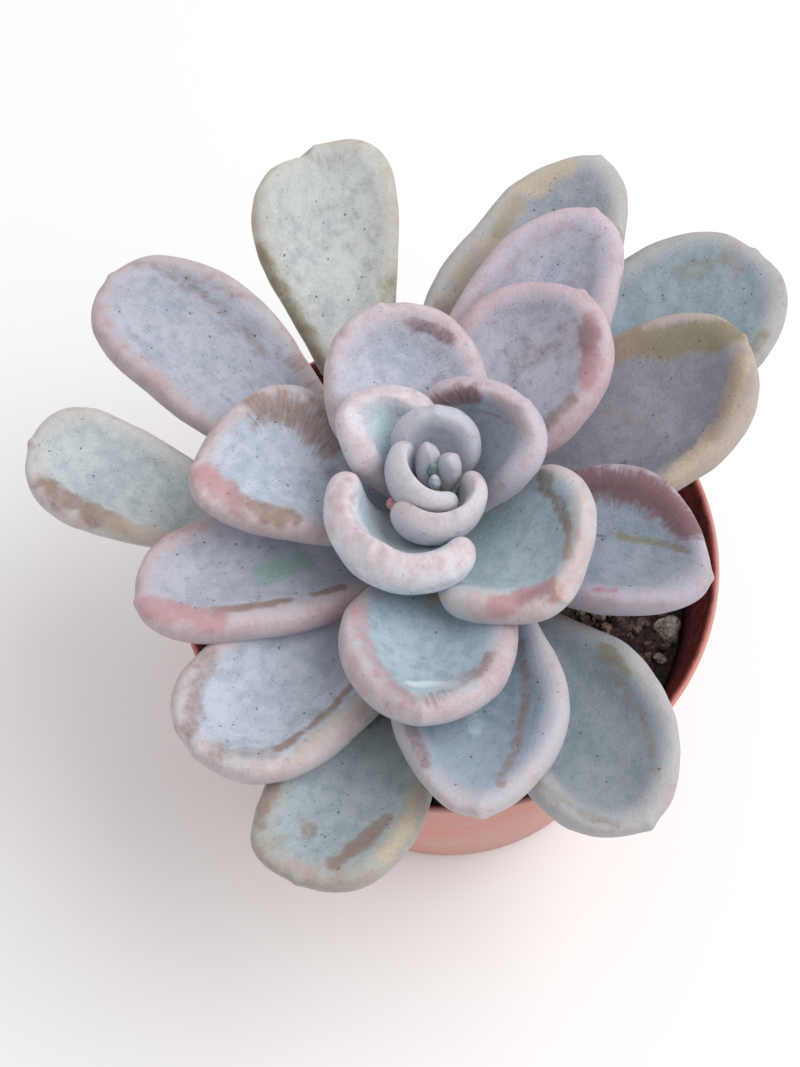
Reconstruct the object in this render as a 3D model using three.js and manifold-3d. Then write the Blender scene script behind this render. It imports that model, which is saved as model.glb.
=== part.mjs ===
// A potted rosette succulent: thick spoon leaves round a short stem, in soil, in a tapered plastic pot.
// Millimetres, +Z up. The origin is the centre of the pot's base, on the surface that it stands on.
// The rosette opens towards +Z, and its longest leaves reach back, towards +Y.
import * as THREE from "three";
import { mergeVertices } from "three/addons/utils/BufferGeometryUtils.js";
import Module from "manifold-3d";

// Every piece is kept this far clear of the next.
const GAP = 0.3;

// Pot: thin moulded plastic, open at the top, with drain holes round a solid middle.
const POT_HEIGHT = 62;
const RIM_RADIUS = 45;
const BASE_RADIUS = 33;
const WALL = 1.25;
const FLOOR_THICKNESS = 1.6;
const BASE_ROUNDING = 1.2;
const POT_SIDES = 48;
const DRAIN_HOLES = 6;
const DRAIN_RADIUS = 3;
const DRAIN_CIRCLE = 22;

// Soil: it rises a little from the wall to the stem, and its surface is crumbly.
const SOIL_BELOW_RIM = 15;
const SOIL_CROWN = 2.5;
const SOIL_ROUGHNESS = 0.55;
const SOIL_SIDES = 36;
const SOIL_RINGS = 8;

// Grains half sunk in the soil, on a ring near the wall: every third one is pumice. FIRST_GRAIN is in degrees.
const GRAINS = 9;
const FIRST_GRAIN = -11;
const GRAIN_RING = 38;
const GRAIN_RING_WANDER = 1;
const GRAIN_RADIUS = 2.1;

// Stem: a root end in the soil, a neck as thick as a pencil, and a crown that narrows to the growing tip.
const STEM_X = -2;
const STEM_Y = -3;
const STEM_RADIUS = 5;
const STEM_TOP_ABOVE_RIM = 28;
const ROOT_DEPTH = 24;
const STEM_SIDES = 20;

// Rosette: each leaf is rooted one step lower than the next younger one. NECK is how wide a blade is where
// it leaves the stem, as a share of its widest, and TIP_POINT is the length of the point at its end.
const FIRST_ROOT_ABOVE_RIM = 22;
const ROOT_STEP = 0.8;
const LEAF_SIDES = 14;
const LEAF_ROWS = 11;
const NECK = 0.34;
const TIP_POINT = 1;

// One row a leaf, youngest first: [azimuth, reach, tipUp, width, widest, thick, curl, cup, bow, hook, blunt,
// wedge]. azimuth is where it points, in degrees from +X, reach is from the stem's axis to the tip, and tipUp
// is the tip's height above the rim. widest is the share of the length at which the blade is widest, curl how
// far it bends up along its length and cup how far each margin turns up, both in degrees. bow is how far its
// middle swings to the left, and hook its tip. A small blunt makes a square end, a large wedge a lean root.
// prettier-ignore
const LEAVES = [
  [40, 3.5, 33, 4.2, 0.6, 3.1, 15, 25, 0.5, 0, 0.5, 1.4],
  [107, 4.5, 33, 4.2, 0.6, 3.1, 15, 25, 0, 0, 0.5, 1.6],
  [217, 5.5, 34, 17, 0.65, 3, 6, 76, -1.5, 0, 0.45, 1.4],
  [88, 10, 35, 15, 0.6, 4, 40, 50, 0, 0, 0.5, 1.8],
  [296, 9, 32, 20.5, 0.65, 3, 8, 95, -1, 0, 0.5, 1.4],
  [125, 18.5, 33, 21.5, 0.6, 4.6, 45, 98, 0.5, 3.5, 0.6, 2.4],
  [41, 18, 34.5, 25, 0.6, 4.6, 45, 62, 2, -1.5, 0.52, 1.3],
  [237, 17.5, 31, 32.5, 0.65, 5, 50, 78, -1, -1, 0.9, 1.6],
  [105, 31, 34, 27, 0.55, 5, 35, 38, 0, 1, 0.45, 1.4],
  [324.5, 27.5, 28, 33.5, 0.46, 5.2, 35, 50, 1, -5, 0.75, 1.2],
  [172, 38, 28, 28.5, 0.6, 5.2, 30, 38, -4, 3.5, 0.55, 1.2],
  [55, 41, 31, 28, 0.65, 5.2, 30, 38, 2, -0.5, 0.55, 1.8],
  [267.5, 38.5, 27, 29.5, 0.48, 5.4, 35, 45, 0, 0, 0.72, 1.8],
  [349, 44, 18, 28, 0.6, 5.2, 25, 40, 2.5, -3, 0.65, 1.6],
  [198.5, 48, 20, 24.5, 0.55, 5.4, 25, 42, -0.5, 1, 0.45, 1],
  [63, 56, 30.5, 27, 0.55, 5, 25, 38, 1.5, -1, 0.5, 1.2],
  [280.5, 50, 19, 29, 0.55, 5.4, 25, 45, 1, -3, 0.65, 1],
  [140, 69.5, 20, 27, 0.75, 5, 20, 38, -0.5, 2, 0.5, 2.8],
  [30, 59.5, 20, 31, 0.65, 5.2, 20, 38, 0, 1.5, 0.5, 1.4],
  [228, 53, 16, 28.5, 0.6, 5.4, 25, 42, 1, 0, 0.38, 1.1],
  [67.5, 72.5, 22, 31.5, 0.5, 5.2, 20, 42, 3.5, -1, 0.55, 1.8],
  [300.5, 58.5, 13, 29, 0.62, 5.2, 20, 38, 3.5, 2, 0.6, 2.8],
  [167.5, 67, 16, 21.5, 0.83, 5, 15, 32, 3, 0.5, 0.5, 4],
  [43, 75.5, 15, 32.5, 0.7, 5, 15, 30, 1, 0.5, 0.42, 1.5],
  [252, 60.5, 12, 25.5, 0.7, 5.2, 20, 38, 1, -1, 0.36, 1.2],
  [106.5, 73, 22, 26.5, 0.86, 4.8, 20, 22, 3, 0.5, 0.32, 5],
].map(([azimuth, reach, tipUp, width, widest, thick, curl, cup, bow, hook, blunt, wedge]) => ({
  azimuth, reach, tipUp, width, widest, thick, curl, cup, bow, hook, blunt, wedge,
}));

// The last leaf grew a lobe short on one side: where the step lies, and how far it and its notch stand back.
const NOTCHED = LEAVES.at(-1);
const LOBE_STEP = 1.7;
const NOTCH_DEPTH = 0.6;
const NOTCH_PLACE = 1.6;
const NOTCH_HALF_WIDTH = 1.2;

const wasm = await Module();
wasm.setup();

const rad = THREE.MathUtils.degToRad;
const smooth = THREE.MathUtils.smoothstep;

// A closed geometry as a solid that can be joined and cut. Triangles that a pole shrinks to a line go.
function solidOf(geometry) {
  const bare = new THREE.BufferGeometry();
  bare.setAttribute("position", geometry.getAttribute("position"));
  bare.setIndex(geometry.getIndex());
  const merged = mergeVertices(bare, 1e-4);
  const corners = merged.index.array;
  const triangles = [];
  for (let i = 0; i < corners.length; i += 3) {
    const [a, b, c] = corners.subarray(i, i + 3);
    if (a !== b && b !== c && c !== a) {
      triangles.push(a, b, c);
    }
  }
  return new wasm.Manifold(
    new wasm.Mesh({
      numProp: 3,
      vertProperties: merged.attributes.position.array,
      triVerts: new Uint32Array(triangles),
    }),
  );
}

// A solid back as a geometry with flat faces.
function geometryOf(solid) {
  const mesh = solid.getMesh();
  const geometry = new THREE.BufferGeometry();
  geometry.setAttribute("position", new THREE.BufferAttribute(new Float32Array(mesh.vertProperties), 3));
  geometry.setIndex(new THREE.BufferAttribute(new Uint32Array(mesh.triVerts), 1));
  return geometry;
}

// The largest body of a solid that cutting may have left in several.
function largestBody(solid) {
  return solid.decompose().sort((a, b) => b.volume() - a.volume())[0];
}

// A profile of [radius, height] points, from the axis at the foot to the axis at the top, turned about Z.
function turned(profile, sides) {
  const geometry = new THREE.LatheGeometry(
    profile.map(([r, z]) => new THREE.Vector2(r, z)),
    sides,
  );
  return geometry.rotateX(Math.PI / 2);
}

// Points on an arc of a profile, between two angles in degrees.
function arc(r, z, radius, from, to, steps) {
  const points = [];
  for (let i = 0; i <= steps; i += 1) {
    const angle = rad(from + ((to - from) * i) / steps);
    points.push([r + radius * Math.cos(angle), z + radius * Math.sin(angle)]);
  }
  return points;
}

// The pot's outer radius at a height.
function potRadius(z) {
  return BASE_RADIUS + ((RIM_RADIUS - BASE_RADIUS) * z) / POT_HEIGHT;
}

function pot() {
  const lip = WALL / 2;
  const profile = [
    [0, 0],
    ...arc(BASE_RADIUS - BASE_ROUNDING, BASE_ROUNDING, BASE_ROUNDING, -90, 0, 3),
    ...arc(RIM_RADIUS - lip, POT_HEIGHT - lip, lip, 0, 180, 4),
    [potRadius(FLOOR_THICKNESS) - WALL, FLOOR_THICKNESS],
    [0, FLOOR_THICKNESS],
  ];
  let solid = solidOf(turned(profile, POT_SIDES));
  for (let i = 0; i < DRAIN_HOLES; i += 1) {
    const hole = new THREE.CylinderGeometry(DRAIN_RADIUS, DRAIN_RADIUS, 4 * FLOOR_THICKNESS, 16);
    hole.rotateX(Math.PI / 2).translate(DRAIN_CIRCLE, 0, 0).rotateZ((2 * Math.PI * i) / DRAIN_HOLES);
    solid = solid.subtract(solidOf(hole));
  }
  return solid;
}

// The stem, swollen on all sides by extra.
function stem(extra) {
  const foot = POT_HEIGHT - SOIL_BELOW_RIM - ROOT_DEPTH;
  const top = POT_HEIGHT + STEM_TOP_ABOVE_RIM;
  const profile = [
    [0, foot - extra],
    [0.35 * STEM_RADIUS + extra, foot - extra],
    [0.75 * STEM_RADIUS + extra, foot + 0.4 * ROOT_DEPTH],
    [STEM_RADIUS + extra, foot + ROOT_DEPTH],
    [STEM_RADIUS + extra, POT_HEIGHT + 4],
    [0.8 * STEM_RADIUS + extra, top - 12],
    [0.4 * STEM_RADIUS + extra, top - 5],
    [0.16 * STEM_RADIUS + extra, top - 1.2],
    [0, top + extra],
  ];
  return solidOf(turned(profile, STEM_SIDES).translate(STEM_X, STEM_Y, 0));
}

// The height of the soil's surface at a place, with crumbs a few millimetres across.
function soilHeight(x, y) {
  const level = POT_HEIGHT - SOIL_BELOW_RIM;
  const fromStem = Math.hypot(x - STEM_X, y - STEM_Y) / RIM_RADIUS;
  const crumbs = Math.sin(0.55 * x + 1.3) * Math.sin(0.48 * y + 0.4) + Math.sin(0.9 * x - 0.7 * y + 2);
  return level + SOIL_CROWN * Math.exp(-3 * fromStem ** 2) + SOIL_ROUGHNESS * crumbs;
}

function soil() {
  const foot = FLOOR_THICKNESS + GAP;
  const level = POT_HEIGHT - SOIL_BELOW_RIM;
  const edge = potRadius(level) - WALL - GAP;
  const profile = [
    [0, foot],
    [potRadius(foot) - WALL - GAP, foot],
  ];
  for (let i = 0; i <= SOIL_RINGS; i += 1) {
    profile.push([edge * (1 - i / SOIL_RINGS), level]);
  }
  const geometry = turned(profile, SOIL_SIDES);
  const position = geometry.getAttribute("position");
  for (let i = 0; i < position.count; i += 1) {
    const [x, y] = [position.getX(i), position.getY(i)];
    if (position.getZ(i) > foot + 1) {
      position.setZ(i, Math.hypot(x, y) > edge - 1 ? level : soilHeight(x, y));
    }
  }
  return solidOf(geometry);
}

// A repeatable number from 0 to 1 for each seed.
function draw(seed) {
  const wave = Math.sin(12.9898 * seed) * 43758.5453;
  return wave - Math.floor(wave);
}

// Grain number i, swollen on all sides by extra: a rough nugget set half its depth into the soil.
function grain(i, extra) {
  const angle = rad(FIRST_GRAIN) + (2 * Math.PI * (i + 0.5 * draw(i))) / GRAINS;
  const ring = GRAIN_RING + GRAIN_RING_WANDER * (draw(i + 40) - 0.5);
  const [x, y] = [ring * Math.cos(angle), ring * Math.sin(angle)];
  const radius = GRAIN_RADIUS * (0.7 + 0.6 * draw(i + 80));
  const nugget = new THREE.IcosahedronGeometry(1, 1);
  const position = nugget.getAttribute("position");
  const corner = new THREE.Vector3();
  for (let k = 0; k < position.count; k += 1) {
    corner.fromBufferAttribute(position, k);
    const knobs = 1 + 0.13 * Math.sin(3 * corner.x + i) + 0.1 * Math.sin(4 * corner.y + 2 * i);
    corner.multiplyScalar(radius * knobs + extra);
    position.setXYZ(k, corner.x, corner.y, corner.z);
  }
  return solidOf(nugget.translate(x, y, soilHeight(x, y)));
}

// The blade's half width along its length, as a share of the widest: a neck, a wide part and a round end.
function outline(leaf, s) {
  if (s < leaf.widest) {
    return NECK + (1 - NECK) * Math.sin((Math.PI / 2) * (s / leaf.widest)) ** leaf.wedge;
  }
  const beyond = (s - leaf.widest) / (1 - leaf.widest);
  return Math.max(0, 1 - beyond ** 2.2) ** leaf.blunt;
}

// A point of a leaf's skin: s runs from root to tip, and phi goes round the section, 0 at the left margin
// and 90 degrees on top. extra swells the leaf on all sides.
function leafPoint(leaf, s, phi, extra) {
  const rank = LEAVES.indexOf(leaf);
  const rootX = Math.min(3.5, 0.6 + 0.35 * rank);
  const rootZ = POT_HEIGHT + FIRST_ROOT_ABOVE_RIM - ROOT_STEP * rank;
  const swell = extra * Math.sqrt(1 - s ** 8);
  const half = (leaf.width / 2) * outline(leaf, s) + swell;
  const across = Math.cos(phi);
  const flat = half * across;

  // The midrib is an arc in an upright plane, from the root to the tip.
  const run = leaf.reach - rootX;
  const rise = POT_HEIGHT + leaf.tipUp - rootZ;
  const curl = rad(leaf.curl);
  const bendRadius = (Math.hypot(run, rise) + extra) / (2 * Math.sin(curl / 2));
  const start = Math.atan2(rise, run) - curl / 2;
  let shortfall = 0;
  if (leaf === NOTCHED) {
    shortfall = LOBE_STEP * smooth(flat, -2, 5) * smooth(s, 0.6, 1);
    shortfall += NOTCH_DEPTH * Math.exp(-(((flat - NOTCH_PLACE) / NOTCH_HALF_WIDTH) ** 2)) * smooth(s, 0.85, 1);
  }
  const slope = start + curl * s - shortfall / bendRadius;
  const spineX = rootX + bendRadius * (Math.sin(slope) - Math.sin(start));
  const spineZ = rootZ - bendRadius * (Math.cos(slope) - Math.cos(start));

  // The section is a thick strip wrapped round a cylinder, with a keel below and a raised edge.
  const tipRound = Math.sqrt(1 - Math.max(0, (s - 0.8) / 0.2) ** 3);
  const thick = (leaf.thick / 2) * (0.62 + 0.38 * smooth(s, 0, 0.5)) * tipRound + swell;
  const up = Math.sin(phi);
  const keel = up < 0 ? 1 + 0.35 * (1 - across ** 2) : 1;
  const lift = thick * Math.sign(up) * Math.abs(up) ** 0.75 * keel + 0.07 * half * across ** 4;
  const fold = leaf.width / 2 / rad(leaf.cup);
  const beyond = Math.max(0, (s - leaf.widest) / (1 - leaf.widest));
  const swing = leaf.bow * 4 * s * (1 - s) + leaf.hook * Math.max(0, (s - 0.5) / 0.5) ** 4;
  const y = (fold - lift) * Math.sin(flat / fold) + swing;
  const z = fold - (fold - lift) * Math.cos(flat / fold) + 0.08 * leaf.width * beyond ** 3;

  const point = ((TIP_POINT * leaf.width) / 25) * smooth(s, 0.9, 1);
  return new THREE.Vector3(
    spineX - z * Math.sin(slope) + point * Math.cos(slope),
    y,
    spineZ + z * Math.cos(slope) + point * Math.sin(slope),
  );
}

// A leaf: a sphere whose rows become the sections from root to tip, turned to face its azimuth.
function blade(leaf, extra) {
  const geometry = new THREE.SphereGeometry(1, LEAF_SIDES, LEAF_ROWS);
  const position = geometry.getAttribute("position");
  const axis = new THREE.Vector3(0, 0, 1);
  const foot = new THREE.Vector3(STEM_X, STEM_Y, 0);
  for (let i = 0; i < position.count; i += 1) {
    const row = Math.floor(i / (LEAF_SIDES + 1));
    const column = (i % (LEAF_SIDES + 1)) % LEAF_SIDES;
    const phi = (-2 * Math.PI * column) / LEAF_SIDES;
    const s = 1 - (1 - Math.max(0, row - 1) / (LEAF_ROWS - 1)) ** 1.55;
    const point = leafPoint(leaf, s, phi, extra);
    if (row === 0) {
      point.lerpVectors(leafPoint(leaf, 0, 0, extra), leafPoint(leaf, 0, Math.PI, extra), 0.5);
    }
    point.applyAxisAngle(axis, rad(leaf.azimuth)).add(foot);
    position.setXYZ(i, point.x, point.y, point.z);
  }
  return solidOf(geometry);
}

const group = new THREE.Group();

function addPiece(name, solid, color, roughness) {
  const material = new THREE.MeshStandardMaterial({ color, roughness, metalness: 0 });
  const mesh = new THREE.Mesh(geometryOf(solid), material);
  mesh.name = name;
  group.add(mesh);
}

addPiece("pot", pot(), 0xc08a80, 0.5);

let ground = soil().subtract(stem(GAP));
for (let i = 0; i < GRAINS; i += 1) {
  ground = ground.subtract(grain(i, GAP));
  const pumice = i % 3 === 0;
  addPiece(`${pumice ? "pumice" : "gravel"}_${i + 1}`, grain(i, 0), pumice ? 0xbdb4aa : 0x5b4034, 0.9);
}
addPiece("soil", largestBody(ground), 0x2b211c, 0.95);
addPiece("stem", stem(0), 0x6f6a4c, 0.8);

// A leaf gives way to the stem and to the younger leaves that lie over it.
LEAVES.forEach((leaf, i) => {
  let body = blade(leaf, 0).subtract(stem(GAP));
  for (const younger of LEAVES.slice(0, i)) {
    body = body.subtract(blade(younger, GAP));
  }
  addPiece(`leaf_${String(i + 1).padStart(2, "0")}`, largestBody(body), 0xaab0b8, 0.65);
});

export default group;
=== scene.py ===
"""The looks of a potted rosette succulent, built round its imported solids. Metres, +Z up."""

from math import pi, radians

import bpy
import numpy as np
from mathutils import Euler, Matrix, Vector, noise


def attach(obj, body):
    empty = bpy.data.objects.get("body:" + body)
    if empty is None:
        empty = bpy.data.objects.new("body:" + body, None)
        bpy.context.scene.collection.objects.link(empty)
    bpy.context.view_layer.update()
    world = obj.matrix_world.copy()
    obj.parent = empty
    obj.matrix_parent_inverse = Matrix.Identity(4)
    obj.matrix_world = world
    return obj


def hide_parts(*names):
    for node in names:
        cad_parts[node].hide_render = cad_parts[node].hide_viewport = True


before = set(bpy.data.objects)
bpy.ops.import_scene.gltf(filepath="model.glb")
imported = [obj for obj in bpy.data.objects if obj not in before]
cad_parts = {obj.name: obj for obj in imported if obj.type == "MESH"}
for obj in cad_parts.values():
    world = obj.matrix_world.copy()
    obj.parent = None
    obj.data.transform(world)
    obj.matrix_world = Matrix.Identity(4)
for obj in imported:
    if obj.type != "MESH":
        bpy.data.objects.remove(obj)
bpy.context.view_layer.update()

# ---- Camera ----
# It stands in front of the pot, 28 cm off the middle of its rim, and looks down 27 degrees from the vertical.
# The picture's long side takes the sensor's width.
bpy.ops.object.camera_add(location=(0, -0.1271, 0.3115), rotation=(radians(27), 0, 0))
camera = bpy.context.object
camera.data.sensor_width = 36
camera.data.lens = 56.9
camera.data.shift_x = -0.0456
camera.data.shift_y = 0.0178
bpy.context.scene.camera = camera
bpy.context.scene.view_settings.view_transform = "Standard"

# ---- Pot ----
# A grower's pot, injection moulded in one piece from thin terracotta-coloured plastic: a plain straight taper
# with a rounded lip, and six drain holes in its floor. Dust and lime have dulled its outside.
POT_HEIGHT = 0.062
RIM_RADIUS = 0.045
BASE_RADIUS = 0.033
WALL = 0.00125
FLOOR = 0.0016
DRAIN_HOLES = 6
DRAIN_RADIUS = 0.003
DRAIN_CIRCLE = 0.022
POT_SIDES = 160
DRAIN_SIDES = 32
LIP_ROUNDING = 0.00055
BASE_ROUNDING = 0.0012
ROUNDING_STEPS = 4
CHOICE_REACH = 1e-4


def deselect():
    """Nothing is selected, so the next operator acts only on what is then picked."""
    bpy.ops.object.select_all(action="DESELECT")


def pick(piece):
    """Only this piece is selected and active."""
    deselect()
    piece.select_set(True)
    bpy.context.view_layer.objects.active = piece


def added(name):
    """The primitive that was just added, under its own name."""
    piece = bpy.context.object
    piece.name = name
    piece.data.name = name
    return piece


def points_of(piece):
    """The places of a mesh's vertices, as rows."""
    places = np.empty(len(piece.data.vertices) * 3)
    piece.data.vertices.foreach_get("co", places)
    return places.reshape(-1, 3)


def move_points(piece, places):
    """Puts a mesh's vertices in new places."""
    piece.data.vertices.foreach_set("co", np.asarray(places, float).ravel())
    piece.data.update()


def mark_points(piece, name, values):
    """Keeps one number or one vector a vertex, for the material to read."""
    values = np.asarray(values, np.float32)
    kind, field = ("FLOAT", "value") if values.ndim == 1 else ("FLOAT_VECTOR", "vector")
    layer = piece.data.attributes.new(name, kind, "POINT")
    layer.data.foreach_set(field, values.ravel())


def apply_modifier(piece, kind, **settings):
    """Adds a modifier and applies it at once."""
    pick(piece)
    modifier = piece.modifiers.new(kind.title(), kind)
    for key, value in settings.items():
        setattr(modifier, key, value)
    bpy.ops.object.modifier_apply(modifier=modifier.name)


def smooth(x, low, high):
    """0 below low, 1 above high, and an even S between them."""
    t = np.clip((np.asarray(x, float) - low) / (high - low), 0, 1)
    return t * t * (3 - 2 * t)


def pot_radius(z):
    """The pot's outer radius at a height."""
    return BASE_RADIUS + (RIM_RADIUS - BASE_RADIUS) * z / POT_HEIGHT


def paint(red, green, blue):
    """A colour as it looks on a screen, 0 to 255, as the linear colour that a material takes."""
    shares = np.array([red, green, blue]) / 255
    return tuple(np.where(shares <= 0.04045, shares / 12.92, ((shares + 0.055) / 1.055) ** 2.4))


class Recipe:
    """A material that is built up from named steps. A step takes numbers or other steps' outputs."""

    def __init__(self, name):
        self.material = bpy.data.materials.new(name)
        self.material.use_nodes = True
        self.tree = self.material.node_tree
        self.surface = self.tree.nodes["Principled BSDF"]

    def step(self, kind, inputs=(), **settings):
        """One node. Inputs go by name or number, and settings are the node's own."""
        node = self.tree.nodes.new(kind)
        for key, value in settings.items():
            setattr(node, key, value)
        self.feed(node, dict(inputs))
        return node

    def feed(self, node, inputs):
        """Links what comes from another step, and sets what is a number or a colour."""
        for key, value in inputs.items():
            socket = node.inputs[key]
            if isinstance(value, bpy.types.NodeSocket):
                self.tree.links.new(value, socket)
            elif socket.type == "RGBA":
                socket.default_value = (*value, 1)
            else:
                socket.default_value = value

    def mark(self, name, output="Fac"):
        """What mark_points kept on each vertex."""
        return self.step("ShaderNodeAttribute", attribute_name=name).outputs[output]

    def place(self):
        """The place in the piece's own metres."""
        return self.step("ShaderNodeTexCoord").outputs["Object"]

    def noise(self, vector, scale, detail=3.0, rough=0.55):
        """Cloudy noise, about 0.3 to 0.7."""
        inputs = {"Vector": vector, "Scale": scale, "Detail": detail, "Roughness": rough}
        return self.step("ShaderNodeTexNoise", inputs).outputs["Fac"]

    def cells(self, vector, scale):
        """Distance to the nearest of many scattered points, and a random number for that point."""
        node = self.step("ShaderNodeTexVoronoi", {"Vector": vector, "Scale": scale})
        chance = self.step("ShaderNodeSeparateColor", {"Color": node.outputs["Color"]})
        return node.outputs["Distance"], chance.outputs["Red"]

    def sum(self, operation, a, b):
        """One sum of two numbers, such as ADD or MULTIPLY."""
        return self.step("ShaderNodeMath", {0: a, 1: b}, operation=operation).outputs[0]

    def between(self, value, low, high, at_low=0.0, at_high=1.0):
        """An even S from at_low to at_high while the value goes from low to high."""
        inputs = {"Value": value, "From Min": low, "From Max": high, "To Min": at_low, "To Max": at_high}
        return self.step("ShaderNodeMapRange", inputs, interpolation_type="SMOOTHSTEP").outputs[0]

    def blend(self, share, a, b, how="MIX"):
        """Colour a with this share of colour b over it."""
        inputs = {0: share, 6: a, 7: b}
        return self.step("ShaderNodeMix", inputs, data_type="RGBA", blend_type=how).outputs[2]

    def relief(self, height, depth, strength=1.0):
        """A bump this many metres deep on the finished surface."""
        inputs = {"Height": height, "Distance": depth, "Strength": strength}
        self.finish(Normal=self.step("ShaderNodeBump", inputs).outputs[0])

    def finish(self, **inputs):
        """The surface's own inputs, with _ for a space."""
        self.feed(self.surface, {key.replace("_", " "): value for key, value in inputs.items()})


bpy.ops.mesh.primitive_cylinder_add(
    vertices=POT_SIDES, radius=BASE_RADIUS, depth=POT_HEIGHT, location=(0, 0, POT_HEIGHT / 2)
)
bpy.ops.object.transform_apply()
pot = added("nursery_pot")
places = points_of(pot)
places[places[:, 2] > POT_HEIGHT / 2, :2] *= RIM_RADIUS / BASE_RADIUS
move_points(pot, places)
bpy.ops.object.mode_set(mode="EDIT")
bpy.ops.mesh.select_all(action="DESELECT")
bpy.ops.object.mode_set(mode="OBJECT")
for face in pot.data.polygons:
    face.select = face.normal.z > 0.9
bpy.ops.object.mode_set(mode="EDIT")
bpy.ops.mesh.inset(thickness=WALL)
bpy.ops.mesh.extrude_region_move(TRANSFORM_OT_translate={"value": (0, 0, FLOOR - POT_HEIGHT)})
inner_floor = (pot_radius(FLOOR) - WALL) / (RIM_RADIUS - WALL)
bpy.ops.transform.resize(value=(inner_floor, inner_floor, 1))
bpy.ops.object.mode_set(mode="OBJECT")


def soften(piece, width, chosen):
    """Rounds the edges that the test accepts."""
    pick(piece)
    for part in (piece.data.vertices, piece.data.edges, piece.data.polygons):
        part.foreach_set("select", [False] * len(part))
    for edge in piece.data.edges:
        a, b = (piece.data.vertices[i].co for i in edge.vertices)
        edge.select = chosen((a + b) / 2, b - a)
    bpy.ops.object.mode_set(mode="EDIT")
    bpy.ops.mesh.select_mode(type="EDGE")
    bpy.ops.mesh.bevel(offset=width, segments=ROUNDING_STEPS, profile=0.5)
    bpy.ops.object.mode_set(mode="OBJECT")


def level_edge(height, inner, outer):
    """Picks the level edges at a height, between two radii."""
    return lambda middle, along: (
        abs(middle.z - height) < CHOICE_REACH
        and inner < middle.xy.length < outer
        and abs(along.z) < CHOICE_REACH / 10
    )


soften(pot, LIP_ROUNDING, level_edge(POT_HEIGHT, 0.04, 0.05))
soften(pot, BASE_ROUNDING, level_edge(0, BASE_RADIUS - WALL, BASE_RADIUS + WALL))

for hole in range(DRAIN_HOLES):
    turn = 2 * pi * hole / DRAIN_HOLES
    bpy.ops.mesh.primitive_cylinder_add(
        vertices=DRAIN_SIDES,
        radius=DRAIN_RADIUS,
        depth=4 * FLOOR,
        location=(DRAIN_CIRCLE * np.cos(turn), DRAIN_CIRCLE * np.sin(turn), FLOOR / 2),
    )
    drill = added("drill")
    apply_modifier(pot, "BOOLEAN", operation="DIFFERENCE", solver="EXACT", object=drill)
    bpy.data.objects.remove(drill)
pick(pot)
bpy.ops.object.shade_smooth_by_angle(angle=radians(35))

places = points_of(pot)
off_axis = np.hypot(places[:, 0], places[:, 1])
wall_middle = pot_radius(places[:, 2]) - WALL / 2
mark_points(pot, "inside", smooth(wall_middle - off_axis, -0.0002, 0.0004) * (places[:, 2] > FLOOR / 2))
mark_points(pot, "height", places[:, 2] / POT_HEIGHT)

plastic = Recipe("pot_plastic")
spot = plastic.place()
clouds = plastic.noise(spot, 60, 4)
dust = plastic.noise(spot, 420, 4, 0.7)
outside = plastic.blend(plastic.between(clouds, 0.35, 0.65), paint(203, 134, 122), paint(196, 146, 137))
film = plastic.between(plastic.sum("ADD", plastic.mark("height"), dust), 0.6, 1.5, 0.55, 0.1)
outside = plastic.blend(film, outside, paint(203, 166, 154))
near, chance = plastic.cells(spot, 260)
scuff = plastic.between(plastic.sum("ADD", near, plastic.sum("MULTIPLY", dust, 0.5)), 0.32, 0.42, 1, 0)
scuff = plastic.sum("MULTIPLY", scuff, plastic.between(chance, 0.8, 0.9))
low_down = plastic.between(plastic.mark("height"), 0.1, 0.95, 0.75, 0.1)
outside = plastic.blend(plastic.sum("MULTIPLY", scuff, low_down), outside, paint(132, 52, 52))
# The inside of the same plastic is painted darker and redder than the outside: painted shade in the pot, with
# the red of light that shines through its thin wall.
inner = plastic.blend(plastic.between(dust, 0.42, 0.62), paint(164, 82, 78), paint(122, 58, 56))
# Below about nine tenths of its height the inside goes dark brown towards the soil, with a ragged edge: more
# painted shade down in the pot.
shade_reach = plastic.sum("ADD", plastic.mark("height"), plastic.sum("MULTIPLY", dust, 0.25))
inner_wall_shade = plastic.between(shade_reach, 0.9, 0.98, 0.8, 0)
inner = plastic.blend(inner_wall_shade, inner, paint(58, 36, 30))
crust = plastic.between(plastic.noise(spot, 900, 2, 0.6), 0.66, 0.72)
inner = plastic.blend(plastic.sum("MULTIPLY", crust, 0.6), inner, paint(150, 110, 100))
plastic.finish(
    Base_Color=plastic.blend(plastic.mark("inside"), outside, inner),
    Roughness=plastic.between(dust, 0.3, 0.7, 0.6, 0.78),
    Specular_IOR_Level=0.22,
)
plastic.relief(dust, 0.00008, 0.4)
pot.data.materials.append(plastic.material)

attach(pot, "root")
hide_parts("pot")

# ---- Soil ----
# A peaty potting mix, dry on top and dark brown: a crumbled surface that fills the pot down to its floor,
# with loose crumbs of peat, chips of bark and brown grit lying on it.
SOIL_BELOW_RIM = 0.015
SOIL_CROWN = 0.0025
SOIL_ROUGHNESS = 0.00055
SOIL_GAP = 0.0003
STEM_PLACE = (-0.002, -0.003)
SOIL_CELLS = 170
LARGE_LUMPS, LARGE_LUMP_SIZE = 0.0009, 0.0032
CLODS, CLOD_SIZE = 0.0012, 0.0013
FINE_LUMPS, FINE_LUMP_SIZE = 0.0003, 0.0006
CRUMBS, CRUMB_SIZES = 1000, (0.0003, 0.0011)
BARK_CHIPS, CHIP_SIZES = 70, (0.0007, 0.0014)
GRIT, GRIT_SIZES = 260, (0.00025, 0.0008)
dice = np.random.default_rng(11)


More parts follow.
